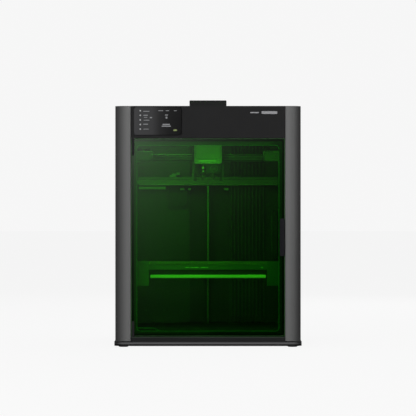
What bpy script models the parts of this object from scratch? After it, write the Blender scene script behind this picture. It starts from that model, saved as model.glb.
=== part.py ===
"""Enclosed core-XY filament printer with a tinted glass door, in metres, +Z up, front towards -Y.

The origin is the middle of the footprint, on the surface that the feet stand on.
Left and right are as seen from the front.
"""

import math

import bmesh
import bpy
from mathutils import Matrix, Vector

# Driving dimensions.
WIDTH = 0.476  # across the two front columns
DEPTH = 0.514
HEIGHT = 0.617  # to the top of the columns
DOME_TOP = 0.6495
FLANGE_WIDTH = 0.481
GAP = 0.0004  # between pieces that touch

SIDE = WIDTH / 2
FRONT, BACK = -DEPTH / 2, DEPTH / 2
WALL = 0.004  # side panels and side windows

# Base.
FOOT_RADIUS, FOOT_HEIGHT = 0.0115, 0.0027
FOOT_X, FOOT_Y = 0.2167, 0.231
FLANGE_Z = (0.003, 0.0133)
BASE_TOP = FLANGE_Z[1] + GAP
SILL_TOP = 0.0262
FLOOR_Z = (0.036, 0.040)

# Front.
COLUMN_INNER = 0.1972  # half the distance between the columns
COLUMN_LOW = 0.0157
COLUMN_BACK = -0.2145
COLUMN_OUTER_RADIUS, COLUMN_INNER_RADIUS = 0.026, 0.004
BETWEEN = COLUMN_INNER - 0.0006  # half width of what sits between the columns
HEADER_LOW = 0.5352
HEADER_Y = (-0.2562, -0.2465)
SCREEN_X, SCREEN_Z = (-0.1905, -0.0665), (0.5416, 0.615)
SCREEN_RADIUS = 0.008
DOOR_HALF_WIDTH = 0.196
DOOR_Y = (-0.2545, -0.2505)
DOOR_Z = (0.0285, 0.5335)
FRAME_Y = (-0.2465, COLUMN_BACK)
OPENING_HALF_WIDTH, OPENING_Z = 0.183, (0.041, 0.517)
HINGE_X, HINGE_Y = -0.1923, -0.2525
HINGE_PIN_RADIUS = 0.0015
UPPER_HINGE_Z, LOWER_HINGE_Z = (0.491, 0.5345), (0.0275, 0.066)
HANDLE_X, HANDLE_Z = (0.1836, 0.1958), (0.233, 0.329)

# Sides, rear and top.
WINDOW_LOW = 0.2354
REAR_PANEL_Y = (0.2500, BACK)
DECK_Y, DECK_Z = (0.1004, BACK), (0.609, HEIGHT)
DOME_HALF_WIDTH, DOME_Y = 0.0505, (0.143, 0.235)
LID_Z = (0.6110, 0.6150)

# Chamber.
REAR_WALL_Y = (0.196, 0.206)
WALL_RECESS_X, WALL_RECESS_DEPTH = (-0.0496, 0.0580), 0.006
RIB_START, RIB_PITCH, RIB_WIDTH, RIB_DEPTH, RIB_COUNT = 0.0620, 0.0099, 0.004, 0.004, 10
LEDGE_Y, LEDGE_Z = (0.1720, 0.1956), (0.4181, 0.4407)

# Motion: the beams carry the cross beam in Y, the cross beam carries the tool head in X.
BEAM_Z = (0.470, 0.500)
RAIL_Z = (0.480, 0.492)
RAIL_INNER = 0.1930
CROSS_Y, CROSS_Z = (-0.0720, -0.0480), (0.4797, 0.4972)
HEAD_HALF_WIDTH = 0.041
HEAD_Y = (-0.0970, -0.0725)
COVER_HALF_WIDTH, COVER_Y, COVER_Z = 0.0357, (-0.132, -0.0974), (0.472, 0.523)
COVER_WALL = 0.0025
NOZZLE_X, NOZZLE_Y, NOZZLE_Z = 0.0125, -0.110, 0.427
RAISED = 0.0025  # how far the idle right nozzle sits above the left one

# Bed and its three screws.
PLATE_Z = (0.2095, 0.2110)
HEATBED_HALF_WIDTH, HEATBED_Y, HEATBED_Z = 0.1805, (-0.183, 0.144), (0.1965, 0.2091)
CARRIER_Z = (0.1850, 0.1955)
BAR_HALF_WIDTH, BAR_Y, BAR_Z = 0.1495, (-0.190, -0.172), (0.1750, 0.1830)
BRACKET_Z = (0.1555, 0.2180)
SCREW_RADIUS, SCREW_Z = 0.004, (0.015, 0.417)
SCREW_HOLE_RADIUS = 0.0065
NUT_RADIUS = 0.0046
PULLEY_RADIUS, PULLEY_Z = 0.010, (0.019, 0.033)
SCREWS = {"left": (-0.189, -0.120), "right": (0.189, -0.120), "rear": (0.0, 0.182)}
Z_MOTOR = (-0.060, 0.228)
BELT_THICKNESS = 0.0015

# Behind the rear wall.
BAY_Y = (0.2075, 0.2485)
XY_MOTOR_X, XY_MOTOR_Z, MOTOR_SIDE = 0.207, (0.440, 0.480), 0.042
FAN_X, FAN_Z, FAN_SIDE, FAN_BORE = -0.130, 0.400, 0.060, 0.0275
INLET_X, INLET_Y, INLET_Z = (0.160, 0.190), (0.2350, 0.2568), (0.0300, 0.0790)
ROCKER_Y, ROCKER_Z = 0.2505, 0.0655


def paint(name, colour, roughness, metallic=0.0, alpha=1.0):
    """A Principled material."""
    made = bpy.data.materials.new(name)
    made.use_nodes = True
    made.diffuse_color = (*colour, alpha)
    shader = made.node_tree.nodes["Principled BSDF"]
    shader.inputs["Base Color"].default_value = (*colour, 1.0)
    shader.inputs["Roughness"].default_value = roughness
    shader.inputs["Metallic"].default_value = metallic
    shader.inputs["Alpha"].default_value = alpha
    return made


def clear_scene():
    for old in list(bpy.data.objects):
        bpy.data.objects.remove(old)


def piece_from(name, bm, centre, finish, smooth=False):
    """The bmesh, drawn about its own origin, as an object placed at centre."""
    bmesh.ops.recalc_face_normals(bm, faces=bm.faces)
    mesh = bpy.data.meshes.new(name)
    bm.to_mesh(mesh)
    bm.free()
    if smooth:
        mesh.shade_smooth()
        mesh.set_sharp_from_angle(angle=math.radians(35))
    if finish:
        mesh.materials.append(finish)
    made = bpy.data.objects.new(name, mesh)
    made.location = centre
    bpy.context.scene.collection.objects.link(made)
    return made


def bevelled(piece, width, segments=1):
    modifier = piece.modifiers.new("Bevel", "BEVEL")
    modifier.width = width
    modifier.segments = segments
    modifier.limit_method = "ANGLE"
    return piece


def block(name, x, y, z, finish=None, bevel=0.0):
    """A box over three spans."""
    spans = (x, y, z)
    bm = bmesh.new()
    bmesh.ops.create_cube(bm, size=1.0)
    bmesh.ops.scale(bm, vec=[high - low for low, high in spans], verts=bm.verts)
    made = piece_from(name, bm, [(low + high) / 2 for low, high in spans], finish)
    return bevelled(made, bevel) if bevel else made


def rod(name, centre, radius, span, finish=None, axis="Z", sides=24):
    """A cylinder over the span of the axis. centre gives the other two coordinates, in X, Y, Z order."""
    bm = bmesh.new()
    length = span[1] - span[0]
    bmesh.ops.create_cone(
        bm, cap_ends=True, segments=sides, radius1=radius, radius2=radius, depth=length
    )
    place = list(centre)
    place.insert("XYZ".index(axis), sum(span) / 2)
    if axis == "Y":
        bmesh.ops.rotate(bm, cent=(0, 0, 0), matrix=Matrix.Rotation(math.pi / 2, 3, "X"), verts=bm.verts)
    return piece_from(name, bm, place, finish, smooth=True)


def prism(name, outline, span, finish=None, axis="Z", smooth=False):
    """The closed outline, drawn in the two other axes, extruded over the span of the axis."""
    bm = bmesh.new()
    index = "XYZ".index(axis)
    middle = sum(span) / 2
    corners = []
    for a, b in outline:
        point = [a, b]
        point.insert(index, span[0] - middle)
        corners.append(bm.verts.new(point))
    face = bm.faces.new(corners)
    grown = bmesh.ops.extrude_face_region(bm, geom=[face])["geom"]
    push = [0, 0, 0]
    push[index] = span[1] - span[0]
    bmesh.ops.translate(bm, vec=push, verts=[v for v in grown if isinstance(v, bmesh.types.BMVert)])
    place = [0, 0, 0]
    place[index] = middle
    return piece_from(name, bm, place, finish, smooth)


def ring(name, outer, inner, span, finish, axis="Z", smooth=False):
    """A closed band between two outlines that have as many points as each other, extruded over the span."""
    bm = bmesh.new()
    index = "XYZ".index(axis)
    middle = sum(span) / 2

    def loop(outline, level):
        corners = []
        for a, b in outline:
            point = [a, b]
            point.insert(index, level - middle)
            corners.append(bm.verts.new(point))
        return corners

    loops = [loop(outer, span[0]), loop(outer, span[1]), loop(inner, span[1]), loop(inner, span[0])]
    count = len(outer)
    for first, second in zip(loops, loops[1:] + loops[:1]):
        for i in range(count):
            j = (i + 1) % count
            bm.faces.new((first[i], first[j], second[j], second[i]))
    place = [0, 0, 0]
    place[index] = middle
    return piece_from(name, bm, place, finish, smooth)


def turned(name, profile, place, finish, sides=20):
    """A solid of revolution about Z through place. The profile is (radius, height) from bottom to top."""
    bm = bmesh.new()
    rings = []
    for radius, height in profile:
        turns = (2 * math.pi * i / sides for i in range(sides))
        rings.append([bm.verts.new((radius * math.cos(t), radius * math.sin(t), height)) for t in turns])
    for lower, upper in zip(rings, rings[1:]):
        for i in range(sides):
            j = (i + 1) % sides
            bm.faces.new((lower[i], lower[j], upper[j], upper[i]))
    bm.faces.new(rings[0])
    bm.faces.new(rings[-1])
    return piece_from(name, bm, place, finish, smooth=True)


def arc(centre, radius, start, end, steps):
    """Points round a centre, the angles in degrees."""
    turns = (math.radians(start + (end - start) * i / steps) for i in range(steps + 1))
    return [(centre[0] + radius * math.cos(t), centre[1] + radius * math.sin(t)) for t in turns]


def rounded(a, b, radius, steps=5):
    """The outline of a rectangle over two spans, with round corners."""
    (left, right), (low, high) = a, b
    return (
        arc((right - radius, high - radius), radius, 0, 90, steps)
        + arc((left + radius, high - radius), radius, 90, 180, steps)
        + arc((left + radius, low + radius), radius, 180, 270, steps)
        + arc((right - radius, low + radius), radius, 270, 360, steps)
    )


def combine(piece, other, operation):
    """A Boolean with a helper, which is then hidden."""
    modifier = piece.modifiers.new(operation.title(), "BOOLEAN")
    modifier.operation = operation
    modifier.object = other
    other.hide_render = True
    other.display_type = "WIRE"
    return piece


def cut(piece, *others):
    for other in others:
        combine(piece, other, "DIFFERENCE")
    return piece


def join(piece, *others):
    for other in others:
        combine(piece, other, "UNION")
    return piece


def sided(side, inner, outer):
    """A span on the left (side -1) or right (side +1) of the middle."""
    return tuple(sorted((side * inner, side * outer)))


def carried(name, at, pieces):
    """An empty on a joint's axis, which carries the pieces of one moving body."""
    empty = bpy.data.objects.new(name, None)
    empty.location = at
    bpy.context.scene.collection.objects.link(empty)
    for piece in pieces:
        piece.parent = empty
        piece.location = Vector(piece.location) - Vector(at)
    return empty


def make_base(dark, rubber, steel):
    flange_outline = rounded((-FLANGE_WIDTH / 2, FLANGE_WIDTH / 2), (FRONT, BACK), 0.026, 6)
    prism("base_flange", flange_outline, FLANGE_Z, dark)
    for x, across in ((-FOOT_X, "left"), (FOOT_X, "right")):
        for y, along in ((-FOOT_Y, "front"), (FOOT_Y, "rear")):
            rod(f"foot_{along}_{across}", (x, y), FOOT_RADIUS, (0, FOOT_HEIGHT), rubber)
    sill = block("front_sill", (-BETWEEN, BETWEEN), (-0.2566, -0.2470), (BASE_TOP, SILL_TOP), dark)
    cut(sill, rod("sill_pin_hole", (HINGE_X, HINGE_Y), 0.0019, (0.0205, 0.030), sides=16))
    inside = SIDE - WALL - 2 * GAP
    floor = block("chamber_floor", (-inside, inside), (COLUMN_BACK + 0.0005, 0.1955), FLOOR_Z, steel)
    cut(floor, *(rod(f"floor_hole_{n}", at, SCREW_HOLE_RADIUS, (0.03, 0.05)) for n, at in SCREWS.items()))


def column_outline(side):
    """Plan of a front column: a broad round on its outer front corner and a small one on the inner."""
    outer = arc(
        (SIDE - COLUMN_OUTER_RADIUS, FRONT + COLUMN_OUTER_RADIUS), COLUMN_OUTER_RADIUS, 270, 360, 8
    )
    inner = arc(
        (COLUMN_INNER + COLUMN_INNER_RADIUS, FRONT + COLUMN_INNER_RADIUS),
        COLUMN_INNER_RADIUS, 180, 270, 3,
    )
    outline = inner + outer + [(SIDE, COLUMN_BACK), (COLUMN_INNER, COLUMN_BACK)]
    return [(side * x, y) for x, y in outline]


def make_front(anodised, dark, gloss):
    for side, name in ((-1, "left"), (1, "right")):
        prism(f"{name}_front_column", column_outline(side), (COLUMN_LOW, HEIGHT), anodised, smooth=True)
    header = block("header_panel", (-BETWEEN, BETWEEN), HEADER_Y, (HEADER_LOW, HEIGHT), dark)
    shelf = block("header_shelf", (-BETWEEN, BETWEEN), (-0.2480, COLUMN_BACK), DECK_Z)
    left, right = SCREEN_X
    low, high = SCREEN_Z
    recess = rounded((left - GAP, right + GAP), (low - GAP, high + GAP), SCREEN_RADIUS)
    join(header, shelf)
    cut(
        header,
        prism("screen_recess", recess, (-0.260, -0.2512), axis="Y"),
        rod("header_pin_hole", (HINGE_X, HINGE_Y), 0.0019, (0.530, 0.5405), sides=16),
    )
    screen = rounded(SCREEN_X, SCREEN_Z, SCREEN_RADIUS)
    prism("touchscreen", screen, (FRONT, -0.2516), gloss, axis="Y", smooth=True)
    outer = rounded((-BETWEEN, BETWEEN), (SILL_TOP + GAP, HEADER_LOW - GAP), 0.001, 4)
    inner = rounded((-OPENING_HALF_WIDTH, OPENING_HALF_WIDTH), OPENING_Z, 0.008, 4)
    ring("door_frame", outer, inner, FRAME_Y, dark, axis="Y")


def make_shell(dark, grey, glass):
    for side, name in ((-1, "left"), (1, "right")):
        along = (COLUMN_BACK + 0.0005, REAR_PANEL_Y[0] - GAP)
        panel = sided(side, SIDE - WALL, SIDE)
        block(f"{name}_side_panel", panel, along, (BASE_TOP, WINDOW_LOW - GAP), grey)
        window = sided(side, SIDE - WALL + 0.0005, SIDE - 0.0005)
        block(f"{name}_side_window", window, along, (WINDOW_LOW, HEIGHT - 0.0005), glass)
    rear = block("rear_panel", (-SIDE, SIDE), REAR_PANEL_Y, (BASE_TOP, DECK_Z[0] - GAP), grey)
    inlet = [(low - GAP, high + GAP) for low, high in (INLET_X, INLET_Z)]
    cut(
        rear,
        rod("fan_outlet", (FAN_X, FAN_Z), FAN_BORE, (0.245, 0.262), axis="Y", sides=32),
        block("inlet_cutout", inlet[0], (0.245, 0.262), inlet[1]),
    )
    inside = SIDE - WALL + 0.0001
    block("rear_top_deck", (-inside, inside), DECK_Y, DECK_Z, dark)
    dome_outline = rounded((-DOME_HALF_WIDTH, DOME_HALF_WIDTH), DOME_Y, 0.004, 4)
    bevelled(prism("cable_dome", dome_outline, (HEIGHT + GAP, DOME_TOP), dark, smooth=True), 0.0012)


def rear_wall_outline():
    """Plan of the rear wall: a shallow recess in the middle and a run of ribs to its right."""
    front, back = REAR_WALL_Y
    half = SIDE - WALL - 0.003
    left, right = WALL_RECESS_X
    floor = front + WALL_RECESS_DEPTH
    outline = [(-half, front), (left, front), (left, floor), (right, floor), (right, front)]
    for i in range(RIB_COUNT):
        start = RIB_START + i * RIB_PITCH
        end = start + RIB_WIDTH
        top = front - RIB_DEPTH
        outline += [(start, front), (start + 0.0005, top), (end - 0.0005, top), (end, front)]
    return outline + [(half, front), (half, back), (-half, back)]


def make_chamber(dark, lamp):
    prism("chamber_rear_wall", rear_wall_outline(), (FLOOR_Z[1] + GAP, 0.590), dark)
    ledge = rounded((-0.193, 0.1948), LEDGE_Z, 0.008, 4)
    prism("rear_ledge", ledge, (LEDGE_Y[0], LEDGE_Y[1] - 0.004), dark, axis="Y")
    block("chamber_light_bar", (-0.190, -0.116), (0.1880, 0.1956), (0.4075, 0.4150), lamp, bevel=0.001)


def motor(name, x, y, z, finish):
    """A square stepper motor, its upright corners chamfered."""
    half, corner = MOTOR_SIDE / 2 - 0.0005, 0.004
    outline = rounded((x - half, x + half), (y - half, y + half), corner, 1)
    return prism(name, outline, z, finish)


def make_motion_frame(steel, motor_black, metal):
    for side, name in ((-1, "left"), (1, "right")):
        beam_x = sided(side, 0.1975, SIDE - WALL - GAP)
        along = (COLUMN_BACK + 0.0005, 0.1915)
        beam = block(f"{name}_y_beam", beam_x, along, BEAM_Z, steel)
        join(beam, block(f"{name}_rail", sided(side, RAIL_INNER, 0.200), along, RAIL_Z))
        motor(f"{name}_xy_motor", side * XY_MOTOR_X, sum(BAY_Y) / 2, XY_MOTOR_Z, motor_black)
        pulley = [(0.0025, 0.4804), (0.0025, 0.4835), (0.008, 0.4835), (0.008, 0.4848)]
        pulley += [(0.0065, 0.4848), (0.0065, 0.4945), (0.008, 0.4945), (0.008, 0.4958)]
        place = (side * XY_MOTOR_X, sum(BAY_Y) / 2, 0)
        turned(f"{name}_xy_pulley", pulley, place, metal)


def hotend(name, x, lift, finish):
    """A nozzle cone, a heater block and a finned heat sink, turned as one."""
    tip = NOZZLE_Z + lift
    profile = [(0.0006, tip), (0.0030, tip + 0.004), (0.0030, tip + 0.006), (0.0065, tip + 0.006)]
    profile += [(0.0065, tip + 0.014), (0.0025, tip + 0.014)]
    for fin in range(5):
        low = tip + 0.018 + fin * 0.0045
        profile += [(0.0025, low), (0.0075, low), (0.0075, low + 0.002), (0.0025, low + 0.002)]
    profile.append((0.0025, 0.4712 - RAISED + lift))
    return turned(name, profile, (x, NOZZLE_Y, 0), finish, sides=16)


def fan_rotor(name, x, y, z, radius, depth, finish, blades=7):
    """A hub and its pitched blades, about an axis along Y."""
    hub = rod(name, (x, z), radius * 0.45, (y - depth / 2, y + depth / 2), finish, axis="Y")
    bm = bmesh.new()
    inner, thickness = radius * 0.35, 0.0012
    for i in range(blades):
        made = bmesh.ops.create_cube(bm, size=1.0)["verts"]
        bmesh.ops.scale(bm, vec=(radius - inner, thickness, depth * 0.9), verts=made)
        bmesh.ops.rotate(bm, cent=(0, 0, 0), matrix=Matrix.Rotation(math.radians(38), 3, "X"), verts=made)
        bmesh.ops.rotate(bm, cent=(0, 0, 0), matrix=Matrix.Rotation(math.pi / 2, 3, "X"), verts=made)
        bmesh.ops.translate(bm, vec=((radius + inner) / 2, 0, 0), verts=made)
        turn = Matrix.Rotation(2 * math.pi * i / blades, 3, "Y")
        bmesh.ops.rotate(bm, cent=(0, 0, 0), matrix=turn, verts=made)
    return join(hub, piece_from(f"{name}_blades", bm, (x, y, z), None))


def make_gantry(steel, dark, plate_grey, brass):
    cross = block("cross_beam", (-0.1455, 0.1455), CROSS_Y, CROSS_Z, steel, bevel=0.0015)
    carriages = [
        block(
            f"{name}_y_carriage", sided(side, 0.1460, RAIL_INNER - 0.0005),
            (-0.0715, -0.0300), (0.4790, 0.5070), dark, bevel=0.003,
        )
        for side, name in ((-1, "left"), (1, "right"))
    ]
    carried("gantry", (0, sum(CROSS_Y) / 2, sum(CROSS_Z) / 2), [cross, *carriages])

    head = block("tool_head_frame", (-HEAD_HALF_WIDTH, HEAD_HALF_WIDTH), HEAD_Y, (0.440, 0.515), dark)
    for side, name in ((-1, "left"), (1, "right")):
        cheek = sided(side, COVER_HALF_WIDTH, HEAD_HALF_WIDTH)
        join(head, block(f"{name}_cheek", cheek, (-0.128, -0.090), (0.440, 0.4712)))
    cover_x, pocket_x = COVER_HALF_WIDTH, COVER_HALF_WIDTH - COVER_WALL
    cover_outline = rounded((-cover_x, cover_x), COVER_Z, 0.005, 4)
    cover = prism("tool_head_cover", cover_outline, COVER_Y, plate_grey, axis="Y")
    pocket_y = (COVER_Y[0] + COVER_WALL, COVER_Y[1] + 0.003)
    pocket_z = (COVER_Z[0] + COVER_WALL, COVER_Z[1] - COVER_WALL)
    cut(cover, block("cover_pocket", (-pocket_x, pocket_x), pocket_y, pocket_z))
    left_hotend = hotend("left_hotend", -NOZZLE_X, 0.0, brass)
    right_hotend = hotend("right_hotend", NOZZLE_X, RAISED, brass)
    head_centre = (0, sum(HEAD_Y) / 2, sum(COVER_Z) / 2)
    carried("tool_head", head_centre, [head, cover, left_hotend])
    carried("lifting_nozzle", (NOZZLE_X, NOZZLE_Y, NOZZLE_Z + RAISED), [right_hotend])
    fan_rotor("tool_fan_rotor", 0, -0.113, sum(COVER_Z) / 2, 0.019, 0.012, dark)


def make_bed(steel, plate_gold, cast, dark):
    plate = prism("build_plate", rounded((-0.175, 0.175), (-0.180, 0.142), 0.006, 3), PLATE_Z, plate_gold)
    heatbed_outline = rounded((-HEATBED_HALF_WIDTH, HEATBED_HALF_WIDTH), HEATBED_Y, 0.005, 3)
    heatbed = prism("heatbed", heatbed_outline, HEATBED_Z, dark)
    carrier = block("bed_carrier", (-0.149, 0.149), (-0.1715, 0.145), CARRIER_Z, steel)
    join(carrier, block("rear_tongue", (-0.018, 0.018), (0.130, 0.1925), (0.172, CARRIER_Z[1])))
    cut(carrier, rod("rear_nut_bore", SCREWS["rear"], NUT_RADIUS, (0.16, 0.21)))
    bar = block("bed_front_bar", (-BAR_HALF_WIDTH, BAR_HALF_WIDTH), BAR_Y, BAR_Z, cast, bevel=0.0015)
    brackets = []
    for side, name in ((-1, "left"), (1, "right")):
        corner_x = sided(side, 0.1530, 0.1833)
        bracket = block(f"bed_{name}_bracket", corner_x, (-0.1985, HEATBED_Y[0] - GAP), BRACKET_Z, dark)
        arm_x = sided(side, HEATBED_HALF_WIDTH + GAP, 0.1965)
        join(bracket, block(f"{name}_arm", arm_x, (-0.1985, -0.105), (BRACKET_Z[0], 0.1900)))
        cut(bracket, rod(f"{name}_nut_bore", SCREWS[name], NUT_RADIUS, (0.14, 0.21)))
        brackets.append(bracket)
    carried("bed", (0, 0, PLATE_Z[1]), [plate, heatbed, carrier, bar, *brackets])


def belt_path(centres, radius, steps=6):
    """The outline of a belt round equal pulleys, listed counter-clockwise."""
    outline = []
    count = len(centres)
    for i, centre in enumerate(centres):
        before = Vector(centre) - Vector(centres[i - 1])
        after = Vector(centres[(i + 1) % count]) - Vector(centre)
        start = math.degrees(math.atan2(before.y, before.x)) - 90
        end = math.degrees(math.atan2(after.y, after.x)) - 90
        if end < start:
            end += 360
        outline += arc(centre, radius, start, end, steps)
    return outline


def make_z_drive(steel, metal, rubber, motor_black):
    low, high = PULLEY_Z
    for name, (x, y) in SCREWS.items():
        profile = [(SCREW_RADIUS, SCREW_Z[0]), (SCREW_RADIUS, low), (PULLEY_RADIUS, low)]
        profile += [(PULLEY_RADIUS, high), (SCREW_RADIUS, high), (SCREW_RADIUS, SCREW_Z[1])]
        turned(f"{name}_lead_screw", profile, (x, y, 0), steel, sides=24)
    motor("z_motor", *Z_MOTOR, (0.038, 0.078), motor_black)
    profile = [(PULLEY_RADIUS, low), (PULLEY_RADIUS, high), (0.0025, high), (0.0025, 0.0376)]
    turned("z_motor_pulley", profile, (*Z_MOTOR, 0), metal, sides=24)
    centres = [SCREWS["left"], SCREWS["right"], SCREWS["rear"], Z_MOTOR]
    inner = PULLEY_RADIUS + GAP
    outer_path = belt_path(centres, inner + BELT_THICKNESS)
    ring("z_belt", outer_path, belt_path(centres, inner), (0.021, 0.031), rubber, smooth=True)


def make_electronics(metal, board_green, dark, motor_black):
    block("power_supply", (0.020, 0.130), BAY_Y, (0.100, 0.300), metal)
    block("main_board", (-0.170, -0.030), (0.2300, 0.2316), (0.130, 0.330), board_green)
    half = FAN_SIDE / 2
    outline = rounded((FAN_X - half, FAN_X + half), (FAN_Z - half, FAN_Z + half), 0.004, 3)
    housing = prism("exhaust_fan_housing", outline, (0.2350, 0.2496), motor_black, axis="Y")
    cut(housing, rod("fan_bore", (FAN_X, FAN_Z), FAN_BORE, (0.230, 0.252), axis="Y", sides=32))
    fan_rotor("exhaust_fan_rotor", FAN_X, 0.2423, FAN_Z, 0.0262, 0.012, motor_black)
    inlet = block("power_inlet", INLET_X, INLET_Y, INLET_Z, dark)
    cut(
        inlet,
        block("socket_cavity", (0.1635, 0.1865), (0.2410, 0.260), (0.0340, 0.0510)),
        block("rocker_well", (0.1635, 0.1865), (0.2450, 0.260), (0.0570, 0.0740)),
    )
    rocker = block("power_rocker", (0.1645, 0.1855), (0.2480, 0.2562), (0.0580, 0.0730), motor_black)
    carried("rocker", (0.175, ROCKER_Y, ROCKER_Z), [rocker])


def hinge(name, plate_z, tab_z, pin_z, finish):
    """A leaf on the door's face, a tab round the edge of the glass, and the pin on the door's axis."""
    x = (-0.1948, -0.1886)
    leaf = block(name, x, (-0.2562, DOOR_Y[0] - GAP), plate_z, finish)
    join(
        leaf,
        block(f"{name}_tab", x, (-0.2562, -0.2508), tab_z),
        rod(f"{name}_pin", (HINGE_X, HINGE_Y), HINGE_PIN_RADIUS, pin_z, sides=16),
    )
    return leaf


def make_door(glass, dark, metal):
    pane = block("door_glass", (-DOOR_HALF_WIDTH, DOOR_HALF_WIDTH), DOOR_Y, DOOR_Z, glass)
    handle = block("door_handle", HANDLE_X, (FRONT, DOOR_Y[0] - GAP), HANDLE_Z, dark)
    top, bottom = UPPER_HINGE_Z[1], LOWER_HINGE_Z[0]
    upper = hinge("upper_hinge", UPPER_HINGE_Z, (top - 0.0007, top), (top - 0.0003, 0.5400), metal)
    lower = hinge("lower_hinge", LOWER_HINGE_Z, (bottom, bottom + 0.0007), (0.0215, bottom + 0.0003), metal)
    carried("door", (HINGE_X, HINGE_Y, 0), [pane, handle, upper, lower])


def make_lid(glass):
    half = SIDE - WALL - 0.0005
    lid_y = (COLUMN_BACK + 0.0006, DECK_Y[0] - GAP)
    lid = block("top_glass", (-half, half), lid_y, LID_Z, glass)
    carried("lid", (0, sum(lid_y) / 2, LID_Z[0]), [lid])


def main():
    clear_scene()
    dark = paint("dark_plastic", (0.019, 0.019, 0.020), 0.55)
    grey = paint("panel_grey", (0.045, 0.046, 0.048), 0.5)
    anodised = paint("anodised", (0.105, 0.107, 0.110), 0.42, metallic=0.6)
    gloss = paint("gloss_black", (0.008, 0.008, 0.009), 0.08)
    glass = paint("green_glass", (0.03, 0.20, 0.03), 0.05, alpha=0.35)
    steel = paint("steel", (0.30, 0.30, 0.31), 0.35, metallic=0.9)
    metal = paint("aluminium", (0.45, 0.45, 0.46), 0.4, metallic=0.9)
    cast = paint("bed_bar", (0.70, 0.71, 0.70), 0.45, metallic=0.3)
    plate_grey = paint("cover_grey", (0.45, 0.46, 0.47), 0.5)
    plate_gold = paint("build_sheet", (0.10, 0.085, 0.055), 0.6)
    brass = paint("brass", (0.60, 0.43, 0.18), 0.35, metallic=0.9)
    rubber = paint("rubber", (0.012, 0.012, 0.012), 0.85)
    motor_black = paint("motor_black", (0.015, 0.015, 0.016), 0.5)
    board_green = paint("board_green", (0.01, 0.09, 0.03), 0.45)
    lamp = paint("lamp_cover", (0.85, 0.85, 0.82), 0.4)

    make_base(dark, rubber, steel)
    make_front(anodised, dark, gloss)
    make_shell(dark, grey, glass)
    make_chamber(dark, lamp)
    make_motion_frame(steel, motor_black, metal)
    make_gantry(steel, dark, plate_grey, brass)
    make_bed(steel, plate_gold, cast, dark)
    make_z_drive(steel, metal, rubber, motor_black)
    make_electronics(metal, board_green, dark, motor_black)
    make_door(glass, dark, metal)
    make_lid(glass)


main()
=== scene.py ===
"""The looks of the enclosed filament printer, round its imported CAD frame. Metres, +Z up, front towards -Y."""

import math

import bmesh
import bpy
from mathutils import Matrix, Vector


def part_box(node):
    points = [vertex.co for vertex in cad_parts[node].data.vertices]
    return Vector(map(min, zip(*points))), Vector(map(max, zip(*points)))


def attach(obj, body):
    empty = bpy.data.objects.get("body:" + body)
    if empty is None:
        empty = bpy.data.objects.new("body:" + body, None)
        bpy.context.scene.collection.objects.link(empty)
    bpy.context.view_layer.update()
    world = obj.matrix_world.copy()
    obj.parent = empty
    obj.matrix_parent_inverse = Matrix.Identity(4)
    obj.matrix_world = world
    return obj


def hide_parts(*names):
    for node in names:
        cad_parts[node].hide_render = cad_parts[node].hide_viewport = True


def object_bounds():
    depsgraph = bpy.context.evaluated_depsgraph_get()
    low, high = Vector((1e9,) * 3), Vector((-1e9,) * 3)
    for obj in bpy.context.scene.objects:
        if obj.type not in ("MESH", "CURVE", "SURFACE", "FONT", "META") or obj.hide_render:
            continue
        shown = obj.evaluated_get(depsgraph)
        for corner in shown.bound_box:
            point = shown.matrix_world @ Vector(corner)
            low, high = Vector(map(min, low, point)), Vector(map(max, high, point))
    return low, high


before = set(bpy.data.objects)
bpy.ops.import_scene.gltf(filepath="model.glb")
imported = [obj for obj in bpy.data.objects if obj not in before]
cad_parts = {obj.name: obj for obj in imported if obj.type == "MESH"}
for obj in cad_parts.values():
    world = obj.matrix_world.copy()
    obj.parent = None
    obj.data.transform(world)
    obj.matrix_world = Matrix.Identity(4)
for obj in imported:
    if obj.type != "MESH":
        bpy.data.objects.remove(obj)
CAD_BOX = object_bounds()

# The front view: a long lens, level, well in front of the door.
CAMERA_DISTANCE = 6.0
CAMERA_HEIGHT = 0.356
LENS = 203.1
SENSOR_WIDTH = 36.0

BACKGROUND = 0.925  # what the camera sees behind the object
AMBIENT = 0.20  # the world's own light on the object

# The card that the door mirrors. Its glow falls to 1/e over each of these, to the right and downwards.
CARD_Y, CARD_HALF_WIDTH, CARD_LOW, CARD_HIGH = -8, 2.2, -1.2, 2.4
CARD_FALL_RIGHT, CARD_FALL_DOWN = 0.390, 0.323
CARD_LEVEL = 3.16428  # sets how bright the card is as a whole
CARD_MOST = 2.0

NOISE_LOW, NOISE_HIGH = 0.3, 0.7  # nearly all of the noise lies between these

SLOT_ROOT, SLOT_PROUD = 0.0004, 0.00015  # how far a vent slot reaches into its panel, and stands off it
WALL_Y = 0.196  # the front of the chamber's rear wall


# ---------------------------------------------------------------- materials


def nodes_of(name):
    """A new material, with its node tree and its Principled shader."""
    made = bpy.data.materials.new(name)
    made.use_nodes = True
    tree = made.node_tree
    return made, tree, tree.nodes["Principled BSDF"]


def link(tree, source, target):
    tree.links.new(source, target)


def noise(tree, scale, detail=4.0, stretch=None):
    """Noise over the object's own coordinates. stretch squeezes it along an axis."""
    coordinates = tree.nodes.new("ShaderNodeTexCoord")
    texture = tree.nodes.new("ShaderNodeTexNoise")
    texture.inputs["Scale"].default_value = scale
    texture.inputs["Detail"].default_value = detail
    if stretch:
        mapping = tree.nodes.new("ShaderNodeMapping")
        mapping.inputs["Scale"].default_value = stretch
        link(tree, coordinates.outputs["Object"], mapping.inputs["Vector"])
        link(tree, mapping.outputs["Vector"], texture.inputs["Vector"])
    else:
        link(tree, coordinates.outputs["Object"], texture.inputs["Vector"])
    return texture.outputs["Fac"]


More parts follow.
